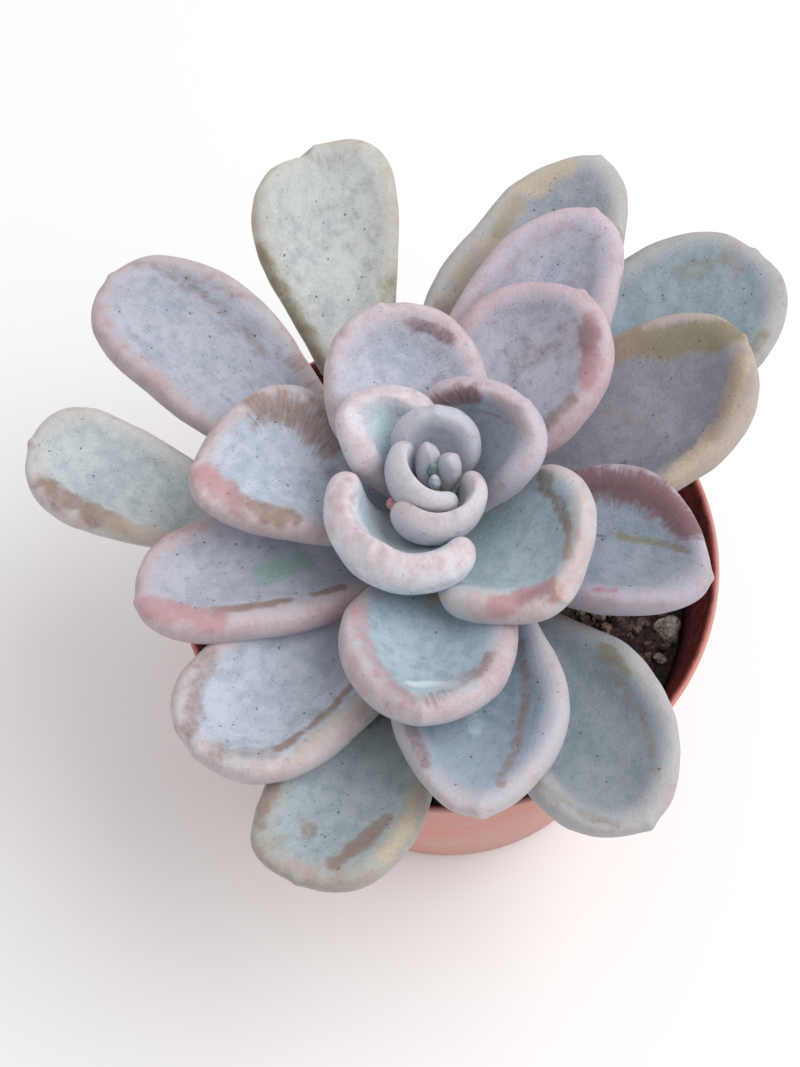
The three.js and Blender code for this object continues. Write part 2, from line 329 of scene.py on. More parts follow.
def soil_height(x, y):
    """The height of the ground at a place, as in the solids, without its fine crumbs."""
    from_stem = np.hypot(x - STEM_PLACE[0], y - STEM_PLACE[1]) / RIM_RADIUS
    long_x, long_y = np.asarray(x) * 1000, np.asarray(y) * 1000
    waves = np.sin(0.55 * long_x + 1.3) * np.sin(0.48 * long_y + 0.4)
    waves = waves + np.sin(0.9 * long_x - 0.7 * long_y + 2)
    return POT_HEIGHT - SOIL_BELOW_RIM + SOIL_CROWN * np.exp(-3 * from_stem**2) + SOIL_ROUGHNESS * waves


def rumple(places, size, seed):
    """Noise from -1 to 1 at each place, with lumps of this size."""
    shift = Vector((seed, -seed, 2.0 * seed))
    return np.array([noise.noise(Vector(place) / size + shift) for place in places])


soil_edge = pot_radius(POT_HEIGHT - SOIL_BELOW_RIM) - WALL - SOIL_GAP
bpy.ops.mesh.primitive_grid_add(x_subdivisions=SOIL_CELLS, y_subdivisions=SOIL_CELLS, size=2)
soil = added("potting_soil")
flat = points_of(soil)
square = np.abs(flat[:, :2]).max(axis=1)
length = np.hypot(flat[:, 0], flat[:, 1])
flat[:, :2] *= (soil_edge * square / np.maximum(length, 1e-9))[:, None]
from_middle = np.hypot(flat[:, 0], flat[:, 1])
inside = smooth(soil_edge - from_middle, 0, 0.0015)
lumps = LARGE_LUMPS * rumple(flat, LARGE_LUMP_SIZE, 3)
lumps += CLODS * np.abs(rumple(flat, CLOD_SIZE, 7))
lumps += FINE_LUMPS * rumple(flat, FINE_LUMP_SIZE, 9)
level = POT_HEIGHT - SOIL_BELOW_RIM
flat[:, 2] = level + inside * (soil_height(flat[:, 0], flat[:, 1]) + lumps - 0.0004 - level)
move_points(soil, flat)
bpy.ops.object.mode_set(mode="EDIT")
bpy.ops.mesh.select_all(action="SELECT")
bpy.ops.mesh.select_mode(type="EDGE")
bpy.ops.mesh.region_to_loop()
bpy.ops.mesh.extrude_edges_move(TRANSFORM_OT_translate={"value": (0, 0, FLOOR + SOIL_GAP - level)})
foot_radius = pot_radius(FLOOR + SOIL_GAP) - WALL - SOIL_GAP
bpy.ops.transform.resize(
    value=(foot_radius / soil_edge, foot_radius / soil_edge, 1), center_override=(0, 0, FLOOR)
)
bpy.ops.mesh.edge_face_add()
bpy.ops.mesh.select_all(action="SELECT")
bpy.ops.mesh.normals_make_consistent(inside=False)
bpy.ops.object.mode_set(mode="OBJECT")
bpy.ops.object.shade_smooth()


def scattered(name, count, sizes, flatness, spread, above, seed):
    """Many rough bits, each a small icosphere of its own shape lying on the ground, joined in one mesh."""
    bpy.ops.mesh.primitive_ico_sphere_add(subdivisions=2, radius=1)
    pattern = added(name)
    ball = points_of(pattern)
    corners = np.array([face.vertices[:] for face in pattern.data.polygons])
    blocks = []
    for bit in range(count):
        turn = dice.uniform(0, 2 * pi)
        ring = spread * np.sqrt(dice.uniform(0, 1))
        size = dice.uniform(*sizes)
        long_side = dice.uniform(1, flatness)
        shape = ball * (size * np.array([long_side, 1, 1 / long_side]))
        shape = shape * (1 + 0.6 * rumple(ball, 0.8, seed + 0.37 * bit))[:, None]
        tilt = Euler((dice.uniform(-0.7, 0.7), dice.uniform(-0.7, 0.7), dice.uniform(0, 2 * pi)))
        shape = shape @ np.array(tilt.to_matrix()).T
        x, y = ring * np.cos(turn), ring * np.sin(turn)
        shape += (x, y, soil_height(x, y) + size * above)
        blocks.append(shape)
    faces = np.concatenate([corners + bit * len(ball) for bit in range(count)])
    mesh = bpy.data.meshes.new(name)
    mesh.from_pydata(np.concatenate(blocks).tolist(), [], faces.tolist())
    pattern.data = mesh
    mark_points(pattern, "bit", np.repeat(dice.uniform(0, 1, count), len(ball)))
    return pattern


crumbs = scattered("peat_crumbs", CRUMBS, CRUMB_SIZES, 1.6, soil_edge - 0.0015, 0.3, 1)
bark = scattered("bark_chips", BARK_CHIPS, CHIP_SIZES, 2.4, soil_edge - 0.003, 0.4, 50)
grit = scattered("brown_grit", GRIT, GRIT_SIZES, 1.4, soil_edge - 0.0015, 0.5, 90)


def earth(name, dark, light, rare, how_rare):
    """Dry crumbs from dark to light, a few of them of a rare colour, all dusty and rough."""
    recipe = Recipe(name)
    spot = recipe.place()
    bit = recipe.mark("bit")
    fine = recipe.noise(spot, 1400, 4, 0.7)
    tone = recipe.sum("ADD", recipe.sum("MULTIPLY", bit, 0.6), recipe.sum("MULTIPLY", fine, 0.8))
    body = recipe.blend(recipe.between(tone, 0.3, 1.1), dark, light)
    body = recipe.blend(recipe.between(bit, how_rare, how_rare + 0.01), body, rare)
    body = recipe.blend(recipe.between(fine, 0.35, 0.6, 0.6, 0), body, paint(22, 16, 13))
    recipe.finish(Base_Color=body, Roughness=0.95, Specular_IOR_Level=0.15)
    recipe.relief(fine, 0.00025, 0.8)
    return recipe.material


soil_skins = {
    soil: earth("peat_surface", paint(70, 58, 54), paint(132, 114, 106), paint(84, 68, 62), 2),
    crumbs: earth("peat_crumb", paint(70, 57, 52), paint(146, 124, 114), paint(180, 164, 146), 0.93),
    bark: earth("bark_chip", paint(72, 52, 46), paint(124, 98, 88), paint(88, 78, 72), 0.8),
    grit: earth("brown_grit", paint(90, 72, 66), paint(150, 130, 120), paint(200, 190, 180), 0.84),
}
for piece, skin in soil_skins.items():
    piece.data.materials.append(skin)
    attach(piece, "root")
    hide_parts("soil")

# ---- Grains ----
# Nuggets of white pumice and brown gravel half sunk in the mix, tumbled and chipped. Pumice is full of
# burst bubbles.
GRAINS = 9
GRAIN_RING = 0.038
GRAIN_RING_WANDER = 0.001
GRAIN_RADIUS = 0.0021
FIRST_GRAIN = radians(-11)


def draw(seed):
    """The solids' repeatable number from 0 to 1 for each seed."""
    wave = np.sin(12.9898 * seed) * 43758.5453
    return wave - np.floor(wave)


def stone(name, dark, light, pit_shade):
    """Chipped mineral whose hollows are painted darker, a painted shade."""
    recipe = Recipe(name)
    spot = recipe.place()
    lumps = recipe.noise(spot, 700, 4, 0.65)
    body = recipe.blend(recipe.between(lumps, 0.36, 0.62), dark, light)
    near, chance = recipe.cells(spot, 1800)
    pit = recipe.between(recipe.sum("ADD", near, recipe.sum("MULTIPLY", lumps, 0.4)), 0.36, 0.5, 1, 0)
    # Painted shade: the pits get the dark colour.
    body = recipe.blend(recipe.sum("MULTIPLY", pit, 0.75), body, pit_shade)
    recipe.finish(Base_Color=body, Roughness=0.92, Specular_IOR_Level=0.2)
    recipe.relief(recipe.sum("SUBTRACT", lumps, pit), 0.0003, 0.8)
    return recipe.material


grain_skins = {
    "pumice": stone("pumice_skin", paint(158, 142, 130), paint(222, 212, 200), paint(92, 72, 62)),
    "gravel": stone("gravel_skin", paint(74, 46, 36), paint(132, 96, 80), paint(40, 26, 22)),
}

for number in range(GRAINS):
    kind = "pumice" if number % 3 == 0 else "gravel"
    turn = FIRST_GRAIN + 2 * pi * (number + 0.5 * draw(number)) / GRAINS
    ring = GRAIN_RING + GRAIN_RING_WANDER * (draw(number + 40) - 0.5)
    x, y = ring * np.cos(turn), ring * np.sin(turn)
    size = GRAIN_RADIUS * (0.7 + 0.6 * draw(number + 80))
    bpy.ops.mesh.primitive_ico_sphere_add(subdivisions=5, radius=1)
    grain = added(f"{kind}_{number + 1}_nugget")
    ball = points_of(grain)
    knobs = 1 + 0.13 * np.sin(3 * ball[:, 0] + number) + 0.1 * np.sin(4 * ball[:, 1] + 2 * number)
    knobs += 0.08 * rumple(ball, 0.5, number)
    pits = np.clip(rumple(ball, 0.16, number + 5), 0, 1) if kind == "pumice" else 0
    chips = 0.02 * rumple(ball, 0.1, number + 9)
    places = ball * (size * (knobs - 0.28 * pits + chips - 0.05))[:, None]
    move_points(grain, places + (x, y, soil_height(x, y)))
    bpy.ops.object.shade_smooth()
    grain.data.materials.append(grain_skins[kind])
    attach(grain, "root")
    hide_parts(f"{kind}_{number + 1}")

# ---- Stem ----
# The plant's short woody stem: a root end in the mix, a neck ringed with the scars of shed leaves, and a
# crown that narrows to the growing tip, where the next leaves show as buds.
STEM_PROFILE = ((0.00175, 0.023), (0.00375, 0.0326), (0.005, 0.047), (0.005, 0.066), (0.004, 0.078))
STEM_CROWN = ((0.002, 0.085), (0.0008, 0.0888), (0, 0.09))
STEM_SIDES = 64
STEM_ROWS = 160
SCARS = 34
FIRST_SCAR = 0.05
SCAR_STEP = 0.001
SCAR_WIDTH = 0.0022
SCAR_HEIGHT = 0.0007
STEM_RADIUS = 0.005
bpy.ops.mesh.primitive_uv_sphere_add(segments=STEM_SIDES, ring_count=STEM_ROWS)
stem = added("woody_stem")
ball = points_of(stem)
row = np.rint(np.arccos(np.clip(-ball[:, 2], -1, 1)) / pi * STEM_ROWS)
turn = np.arctan2(ball[:, 1], ball[:, 0])
line = np.array(((0, STEM_PROFILE[0][1]),) + STEM_PROFILE + STEM_CROWN)
runs = np.concatenate([[0], np.cumsum(np.hypot(*np.diff(line, axis=0).T))])
at = row / STEM_ROWS * runs[-1]
radius, height = np.interp(at, runs, line[:, 0]), np.interp(at, runs, line[:, 1])
bark_lumps = rumple(np.stack([np.cos(turn), np.sin(turn), height / 0.002], axis=1), 0.8, 4)
scar = np.zeros(len(ball))
for number in range(SCARS):
    off_turn = (turn - radians(137.5 * number) + pi) % (2 * pi) - pi
    off_up = height - (FIRST_SCAR + SCAR_STEP * number)
    far = np.hypot(off_turn * STEM_RADIUS / SCAR_WIDTH, off_up / SCAR_HEIGHT)
    scar += 0.00025 * np.exp(-((far - 1) ** 2) / 0.08) - 0.0002 * np.exp(-(far**2) / 0.5)
radius = np.where(radius > 0, radius + (0.00012 * bark_lumps + scar - 0.0002) * smooth(radius, 0, 0.002), 0)
places = np.stack([radius * np.cos(turn), radius * np.sin(turn), height], axis=1)
move_points(stem, places + (*STEM_PLACE, 0))
bpy.ops.object.shade_smooth()

bark_skin = Recipe("stem_bark")
spot = bark_skin.place()
fibres = bark_skin.noise(spot, 900, 4, 0.65)
body = bark_skin.blend(bark_skin.between(fibres, 0.35, 0.62), paint(92, 84, 52), paint(150, 142, 96))
scabs = bark_skin.between(bark_skin.noise(spot, 260, 3), 0.5, 0.62, 0, 0.7)
body = bark_skin.blend(scabs, body, paint(86, 62, 44))
bark_skin.finish(Base_Color=body, Roughness=0.85, Specular_IOR_Level=0.25)
bark_skin.relief(fibres, 0.0002, 0.7)
stem.data.materials.append(bark_skin.material)
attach(stem, "root")
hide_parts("stem")

# ---- Buds ----
# The next leaves, still smooth green knobs at the growing tip, and one pink flower bud on a short stalk
# that has come out between the young leaves: name, middle, half sizes, colour.
BUD_SPOTS = [
    ("tip_bud_1", (-0.0023, -0.0008, 0.0908), (0.0011, 0.0010, 0.0020), (112, 136, 132)),
    ("tip_bud_2", (-0.0021, -0.0028, 0.0908), (0.0009, 0.0009, 0.0018), (164, 176, 178)),
    ("flower_bud", (-0.0084, -0.0044, 0.0870), (0.0011, 0.0009, 0.0013), (196, 134, 142)),
    ("flower_stalk", (-0.0062, -0.0038, 0.0845), (0.0030, 0.0006, 0.0007), (150, 140, 120)),
]
STALK_LEAN = radians(46)

for name, middle, half_sizes, color in BUD_SPOTS:
    bpy.ops.mesh.primitive_uv_sphere_add(segments=32, ring_count=20)
    bud = added(name)
    ball = points_of(bud)
    ball *= (1 + 0.08 * rumple(ball, 0.7, 21))[:, None]
    lean = STALK_LEAN if name == "flower_stalk" else 0
    shape = ball * half_sizes @ np.array(Euler((0, lean, 0)).to_matrix()).T
    move_points(bud, shape + middle)
    bpy.ops.object.shade_smooth()
    bud_skin = Recipe(f"{name}_skin")
    fine = bud_skin.noise(bud_skin.place(), 1500, 3)
    paler = tuple(min(part + 34, 255) for part in color)
    bud_skin.finish(
        Base_Color=bud_skin.blend(bud_skin.between(fine, 0.4, 0.65), paint(*color), paint(*paler)),
        Roughness=0.6,
        Specular_IOR_Level=0.3,
    )
    bud.data.materials.append(bud_skin.material)
    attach(bud, "root")
    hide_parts("stem")

# ---- Leaves ----
# Twenty-six thick spoons of soft flesh under a powdery bloom, youngest first. Each has grown from the stem on
# a narrow neck, and has a hollow face, a fat rounded margin and a small point.
MM = 0.001
STEM_X = -2
STEM_Y = -3
FIRST_ROOT = 84
ROOT_STEP = 0.8
RIM = 62
NECK = 0.34
TIP_POINT = 0.45
LEAF_SIDES = 120
LEAF_ROWS = 90

# One row a leaf: azimuth, reach, tip's height above the rim, width, the share of the length at which it is
# widest, thickness, curl along it and cup across it in degrees, bow of its middle and hook of its tip to the
# side, blunt (small for a square end) and wedge (large for a lean root).
LEAVES = [
    (40, 3.5, 33, 4.2, 0.6, 3.1, 15, 25, 0.5, 0, 0.5, 1.4),
    (107, 4.5, 33, 4.2, 0.6, 3.1, 15, 25, 0, 0, 0.5, 1.6),
    (217, 5.5, 34, 17, 0.65, 3, 6, 76, -1.5, 0, 0.45, 1.4),
    (88, 10, 35, 15, 0.6, 4, 40, 50, 0, 0, 0.5, 1.8),
    (296, 9, 32, 20.5, 0.65, 3, 8, 95, -1, 0, 0.5, 1.4),
    (125, 18.5, 33, 21.5, 0.6, 4.6, 45, 98, 0.5, 3.5, 0.6, 2.4),
    (41, 18, 34.5, 25, 0.6, 4.6, 45, 62, 2, -1.5, 0.52, 1.3),
    (237, 17.5, 31, 32.5, 0.65, 5, 50, 78, -1, -1, 0.9, 1.6),
    (105, 31, 34, 27, 0.55, 5, 35, 38, 0, 1, 0.45, 1.4),
    (324.5, 27.5, 28, 33.5, 0.46, 5.2, 35, 50, 1, -5, 0.75, 1.2),
    (172, 38, 28, 28.5, 0.6, 5.2, 30, 38, -4, 3.5, 0.55, 1.2),
    (55, 41, 31, 28, 0.65, 5.2, 30, 38, 2, -0.5, 0.55, 1.8),
    (267.5, 38.5, 27, 29.5, 0.48, 5.4, 35, 45, 0, 0, 0.72, 1.8),
    (349, 44, 18, 28, 0.6, 5.2, 25, 40, 2.5, -3, 0.65, 1.6),
    (198.5, 48, 20, 24.5, 0.55, 5.4, 25, 42, -0.5, 1, 0.45, 1),
    (63, 56, 30.5, 27, 0.55, 5, 25, 38, 1.5, -1, 0.5, 1.2),
    (280.5, 50, 19, 29, 0.55, 5.4, 25, 45, 1, -3, 0.65, 1),
    (140, 69.5, 20, 27, 0.75, 5, 20, 38, -0.5, 2, 0.5, 2.8),
    (30, 59.5, 20, 31, 0.65, 5.2, 20, 38, 0, 1.5, 0.5, 1.4),
    (228, 53, 16, 28.5, 0.6, 5.4, 25, 42, 1, 0, 0.38, 1.1),
    (67.5, 72.5, 22, 31.5, 0.5, 5.2, 20, 42, 3.5, -1, 0.55, 1.8),
    (300.5, 58.5, 13, 29, 0.62, 5.2, 20, 38, 3.5, 2, 0.6, 2.8),
    (167.5, 67, 16, 21.5, 0.83, 5, 15, 32, 3, 0.5, 0.5, 4),
    (43, 75.5, 15, 32.5, 0.7, 5, 15, 30, 1, 0.5, 0.42, 1.5),
    (252, 60.5, 12, 25.5, 0.7, 5.2, 20, 38, 1, -1, 0.36, 1.2),
    (106.5, 73, 22, 26.5, 0.86, 4.8, 20, 22, 3, 0.5, 0.32, 5),
]
# The row, counted from 0, of the leaf whose end has a step and a nick.
NOTCHED = 25

# How far a leaf's skin wanders from its plain form, in long swells and in small dents.
WANDER = 0.7
DENTS = 0.14
DRIFT_SEED = 4

# Each leaf's bloom on its face, and the colour of its margin. The faces of leaves 6 and 8 are made lighter
# than their bloom: painted light in their shaded hollows.
TINTS = [
    ((190, 195, 206), (207, 204, 210)),
    ((190, 195, 206), (207, 204, 210)),
    ((194, 196, 206), (210, 202, 207)),
    ((182, 188, 199), (194, 194, 203)),
    ((196, 196, 205), (210, 200, 204)),
    # Leaf 6: face lightened, a painted light.
    ((220, 228, 238), (214, 196, 200)),
    ((168, 178, 190), (206, 190, 197)),
    # Leaf 8: face lightened, a painted light.
    ((226, 236, 244), (214, 194, 198)),
    ((199, 201, 213), (205, 186, 189)),
    ((178, 194, 203), (208, 188, 186)),
    ((194, 201, 213), (194, 172, 169)),
    ((184, 182, 194), (206, 178, 184)),
    ((174, 190, 201), (202, 180, 181)),
    ((150, 159, 171), (196, 182, 191)),
    ((182, 182, 194), (198, 172, 172)),
    ((182, 182, 196), (206, 188, 195)),
    ((152, 165, 180), (207, 195, 197)),
    ((181, 184, 196), (192, 174, 173)),
    ((140, 139, 148), (192, 174, 158)),
    ((190, 196, 208), (200, 184, 180)),
    ((164, 168, 176), (192, 186, 180)),
    ((140, 150, 156), (194, 188, 188)),
    ((191, 198, 200), (198, 187, 181)),
    ((156, 169, 177), (181, 177, 171)),
    ((166, 177, 180), (172, 163, 148)),
    ((197, 200, 199), (192, 184, 168)),
]

# What weather and fingers left on the leaves, and on leaves 6 and 8 pale patches that are painted light in
# their shaded hollows. A mark's edge breaks up into spots, or runs out in streaks.
BROWN = (140, 116, 104)
ROSE = (182, 140, 142)
MAROON = (118, 80, 84)
OLIVE = (130, 122, 98)
TAN = (188, 172, 150)
PALE_SCRAPE_AND_LIGHT = (214, 232, 236)
TEAL = (138, 166, 158)
DARK = (88, 96, 96)
CRIMSON = (168, 104, 120)
SPOTS = 0
STREAKS = 0.7

# Leaf number, colour, from (along, across), to (along, across), half width in mm, strength, edge. Along runs
# from 0 at the root to 1 at the tip, and across from 1 at the left margin to -1 at the right one. Past the
# margins it goes on round the back.
MARKS = [
    (6, ROSE, (0.6, 0.95), (0.95, 0.3), 1.8, 0.5, SPOTS),
    # Painted light: lightens the shaded hollow of leaf 6's face.
    (6, PALE_SCRAPE_AND_LIGHT, (0.35, 0.1), (0.7, 0.15), 4, 0.9, SPOTS),
    (7, MAROON, (0.66, 0.86), (0.84, 0.7), 2.8, 0.85, STREAKS),
    (7, MAROON, (0.72, 0.3), (0.84, -0.3), 0.7, 0.6, SPOTS),
    (7, ROSE, (0.93, 0.5), (0.9, -0.6), 2.4, 0.6, SPOTS),
    # Painted light: lightens the shaded hollow of leaf 8's face.
    (8, PALE_SCRAPE_AND_LIGHT, (0.4, -0.5), (0.7, 0.1), 5, 0.95, SPOTS),
    (8, ROSE, (0.75, -0.96), (0.97, 0), 1.8, 0.5, SPOTS),
    (8, BROWN, (0.95, -0.3), (0.9, 0.6), 1.6, 0.4, SPOTS),
    (9, MAROON, (0.78, -0.8), (0.9, -0.45), 1.7, 0.75, SPOTS),
    (9, ROSE, (0.8, 0.7), (0.97, 0), 2.5, 0.35, SPOTS),
    (9, MAROON, (0.45, -0.4), (0.78, -0.6), 2, 0.5, STREAKS),
    (10, BROWN, (0.45, 0.74), (0.9, 0.45), 1.7, 0.8, SPOTS),
    (10, ROSE, (0.78, -1), (0.99, -0.1), 3, 0.95, SPOTS),
    (10, MAROON, (0.88, -0.8), (0.97, -0.3), 1.6, 0.66, SPOTS),
    (10, TAN, (0.98, 0.2), (0.75, 0.96), 2, 0.55, SPOTS),
    (10, BROWN, (0.42, 0.86), (0.48, 0.86), 1.8, 0.8, SPOTS),
    (10, CRIMSON, (0.93, 0.05), (0.94, 0.1), 0.9, 0.6, SPOTS),
    (11, BROWN, (0.42, -0.55), (0.8, -0.8), 4.5, 0.85, STREAKS),
    (11, ROSE, (0.8, 0.8), (0.95, 0.5), 3, 0.9, SPOTS),
    (11, BROWN, (0.55, 0.92), (0.78, 0.85), 2.8, 0.85, SPOTS),
    (11, BROWN, (0.3, -0.3), (0.42, -0.1), 3.2, 0.5, STREAKS),
    (12, ROSE, (0.72, -0.9), (0.93, -0.6), 2.6, 0.85, SPOTS),
    (12, MAROON, (0.84, -0.62), (0.88, -0.5), 2, 0.8, STREAKS),
    (12, MAROON, (0.62, 0.2), (0.85, -0.3), 5, 0.5, SPOTS),
    (12, BROWN, (0.42, -0.85), (0.62, -0.85), 2, 0.7, SPOTS),
    (12, MAROON, (0.42, 0.92), (0.52, 0.92), 1.8, 0.75, SPOTS),
    (13, PALE_SCRAPE_AND_LIGHT, (0.82, -0.2), (0.84, 0.35), 1.8, 1, SPOTS),
    (13, MAROON, (0.78, 0.65), (0.95, 0.25), 2.6, 0.62, STREAKS),
    (13, BROWN, (0.7, 0.85), (0.8, 0.75), 1.8, 0.7, SPOTS),
    (13, ROSE, (0.45, -0.9), (0.95, -0.6), 2.4, 0.7, SPOTS),
    (13, MAROON, (0.86, -0.55), (0.96, -0.1), 1.3, 0.5, SPOTS),
    (13, TAN, (0.28, 0), (0.3, 0), 1.6, 0.9, SPOTS),
    (14, MAROON, (0.42, 0.8), (0.9, 0.68), 4.2, 0.95, STREAKS),
    (14, OLIVE, (0.62, 0.12), (0.9, 0.08), 1, 0.85, STREAKS),
    (14, DARK, (0.35, 0.1), (0.56, 0.06), 0.6, 0.8, SPOTS),
    (14, CRIMSON, (0.58, -0.93), (0.66, -0.9), 1, 0.68, SPOTS),
    (14, ROSE, (0.85, -0.6), (0.97, -0.2), 3, 0.4, SPOTS),
    (14, DARK, (0.6, -0.3), (0.8, -0.25), 3, 0.35, SPOTS),
    (15, TEAL, (0.42, 0), (0.56, 0.05), 3.3, 0.85, SPOTS),
    (15, ROSE, (0.78, 0.92), (0.98, 0.6), 2.8, 0.85, SPOTS),
    (15, BROWN, (0.5, 0.72), (0.76, 0.75), 1.4, 0.9, SPOTS),
    (15, BROWN, (0.3, 0.7), (0.42, 0.72), 1.1, 0.9, SPOTS),
    (15, ROSE, (0.75, -0.95), (0.95, -0.7), 2.5, 0.35, SPOTS),
    (16, ROSE, (0.55, 0.92), (0.97, 0.4), 3, 0.5, SPOTS),
    (16, BROWN, (0.95, -0.35), (0.65, -0.8), 1.6, 0.45, SPOTS),
    (17, TEAL, (0.6, -0.02), (0.68, -0.1), 2.4, 0.55, SPOTS),
    (17, PALE_SCRAPE_AND_LIGHT, (0.62, -0.04), (0.7, -0.12), 1.4, 0.7, SPOTS),
    (17, BROWN, (0.42, 0.72), (0.92, 0.3), 1.5, 0.72, SPOTS),
    (17, MAROON, (0.6, -0.94), (0.82, -0.94), 1.8, 0.65, SPOTS),
    (18, BROWN, (0.58, -0.55), (0.9, -0.58), 1.3, 0.62, SPOTS),
    (18, BROWN, (0.34, -0.72), (0.52, -0.85), 3, 0.65, STREAKS),
    (18, BROWN, (0.68, -0.98), (0.97, -0.6), 2, 0.55, SPOTS),
    (18, DARK, (0.48, 0.35), (0.6, 0.42), 0.8, 0.55, STREAKS),
    (18, ROSE, (0.7, 0.97), (0.95, 0.85), 2.2, 0.5, SPOTS),
    (19, BROWN, (0.35, 0.92), (0.75, 0.86), 3, 1, SPOTS),
    (19, OLIVE, (0.75, 0.82), (0.97, 0.3), 3.8, 1, STREAKS),
    (19, BROWN, (0.96, -0.3), (0.75, -0.85), 1.6, 0.75, SPOTS),
    (19, TAN, (0.6, -0.98), (0.96, -0.6), 2.4, 0.85, SPOTS),
    (19, BROWN, (0.56, 0.35), (0.66, -0.15), 2, 0.5, SPOTS),
    (19, DARK, (0.5, -0.35), (0.52, -0.38), 1, 0.85, SPOTS),
    (19, OLIVE, (0.2, -0.3), (0.3, 0.3), 5, 0.45, SPOTS),
    (20, BROWN, (0.42, 0.62), (0.82, 0.7), 1.4, 0.9, SPOTS),
    (20, BROWN, (0.75, -0.92), (0.97, -0.5), 2.2, 0.7, SPOTS),
    (20, BROWN, (0.86, 0.7), (0.97, 0.3), 2.6, 0.6, SPOTS),
    (20, TAN, (0.55, 0.9), (0.8, 0.95), 2.6, 0.6, SPOTS),
    (21, TAN, (0.35, 0.78), (0.95, 0.72), 3.2, 0.8, SPOTS),
    (21, OLIVE, (0.58, 0.5), (0.66, 0.5), 1.2, 0.95, SPOTS),
    (21, MAROON, (0.44, 0.88), (0.5, 0.88), 1.6, 0.75, SPOTS),
    (21, OLIVE, (0.74, 0.75), (0.82, 0.75), 1.8, 0.8, STREAKS),
    (21, OLIVE, (0.7, -0.92), (0.82, -0.92), 1.9, 0.75, SPOTS),
    (22, BROWN, (0.5, 0.7), (0.9, 0.62), 1.3, 0.6, SPOTS),
    (22, OLIVE, (0.75, -0.98), (0.96, -0.8), 1.3, 0.6, SPOTS),
    (22, OLIVE, (0.48, 0.8), (0.6, 0.82), 1.4, 0.75, SPOTS),
    (22, DARK, (0.4, -0.2), (0.45, -0.3), 1.6, 0.7, SPOTS),
    (22, OLIVE, (0.12, 0.3), (0.25, 0), 5, 0.5, SPOTS),
    (23, BROWN, (0.72, 0.9), (0.93, 0.8), 2.8, 0.85, SPOTS),
    (23, MAROON, (0.99, 0.25), (1, 0), 1.2, 0.45, SPOTS),
    (23, TAN, (0.45, 0.97), (0.72, 0.97), 2.2, 0.7, SPOTS),
    (23, OLIVE, (0.7, -0.5), (0.8, -0.1), 2.5, 0.3, SPOTS),
    (24, OLIVE, (0.84, 0.55), (0.95, 0.2), 2.4, 0.6, SPOTS),
    (24, OLIVE, (0.55, 0.88), (0.68, 0.9), 2.4, 0.75, SPOTS),
    (24, ROSE, (0.94, 0.05), (0.97, 0.3), 2.6, 0.55, SPOTS),
    (24, OLIVE, (0.72, -0.92), (0.85, -0.92), 2, 0.7, SPOTS),
    (25, BROWN, (0.55, -0.96), (0.9, -0.96), 2.1, 0.75, SPOTS),
    (25, TAN, (0.5, 0.96), (0.88, 0.96), 2.4, 0.75, SPOTS),
    (25, OLIVE, (0.64, -0.75), (0.4, 0.15), 0.9, 0.75, SPOTS),
    (25, BROWN, (0.85, -0.25), (0.87, -0.2), 1.8, 0.75, SPOTS),
    (25, BROWN, (0.78, 0.62), (0.93, 0.4), 2.2, 0.85, SPOTS),
    (25, ROSE, (0.98, 0.3), (0.98, -0.3), 2, 0.6, SPOTS),
    (26, TAN, (0.77, -0.6), (0.79, -0.55), 3, 0.45, SPOTS),
    (26, OLIVE, (0.62, -0.5), (0.93, -0.35), 6, 0.42, SPOTS),
    (26, OLIVE, (0.45, 0.95), (0.8, 1), 2.5, 0.8, SPOTS),
    (26, OLIVE, (0.4, -0.75), (0.62, -0.95), 4, 0.6, SPOTS),
    (26, BROWN, (0.96, -0.05), (0.95, -0.5), 2.5, 0.5, STREAKS),
    (26, DARK, (0.6, -0.3), (0.75, -0.35), 3, 0.35, SPOTS),
]


def painted(rank, s, around, length, width, places):
    """The colour, cover and kind of edge of the marks at each point of a leaf."""
    ragged = 0.3 * rumple(places, 2.6, rank) + 0.2 * rumple(places, 1.1, rank + 30)
    stain_and_light = np.zeros((len(s), 3))
    cover = np.zeros(len(s))
    brush = np.zeros(len(s))
    for number, color, start, end, reach, strength, edge in MARKS:
        if number != rank + 1:
            continue
        steps = np.linspace(start, end, 25)
        off = (s - steps[:, :1]) * length, (around - steps[:, 1:]) * width / 2
        line = places[np.hypot(*off).argmin(axis=1)]
        far = np.linalg.norm(places[:, None] - line, axis=2).min(axis=1)
        share = strength * smooth(ragged - far / reach, -1.4, -0.2)
        weight = share / np.maximum(share + cover, 1e-6)
        stain_and_light += weight[:, None] * (np.array(paint(*color)) - stain_and_light)
        brush += weight * (edge - brush)
        cover = np.maximum(cover, share)
    return stain_and_light, cover, brush


def outline(s, widest, blunt, wedge):
    """Half a leaf's width at a share of its length, as a share of its widest."""
    rising = NECK + (1 - NECK) * np.sin((pi / 2) * np.clip(s / widest, 0, 1)) ** wedge
    beyond = np.clip((s - widest) / (1 - widest), 0, 1)
    return np.where(s < widest, rising, (1 - beyond**2.2) ** blunt)


def inward(x, y, edge_x, edge_y):
    """How far each point lies from a leaf's margin, a line of short straight runs, and where along it."""
    run_x, run_y = np.diff(edge_x), np.diff(edge_y)
    part = (x[:, None] - edge_x[:-1]) * run_x + (y[:, None] - edge_y[:-1]) * run_y
    part = np.clip(part / (run_x**2 + run_y**2), 0, 1)
    off = np.hypot(x[:, None] - edge_x[:-1] - part * run_x, y[:, None] - edge_y[:-1] - part * run_y)
    nearest = off.argmin(axis=1)
    each = np.arange(len(x))
    lengths = np.hypot(run_x, run_y)
    rim = np.cumsum(lengths)[nearest] - (1 - part[each, nearest]) * lengths[nearest]
    return off[each, nearest], rim


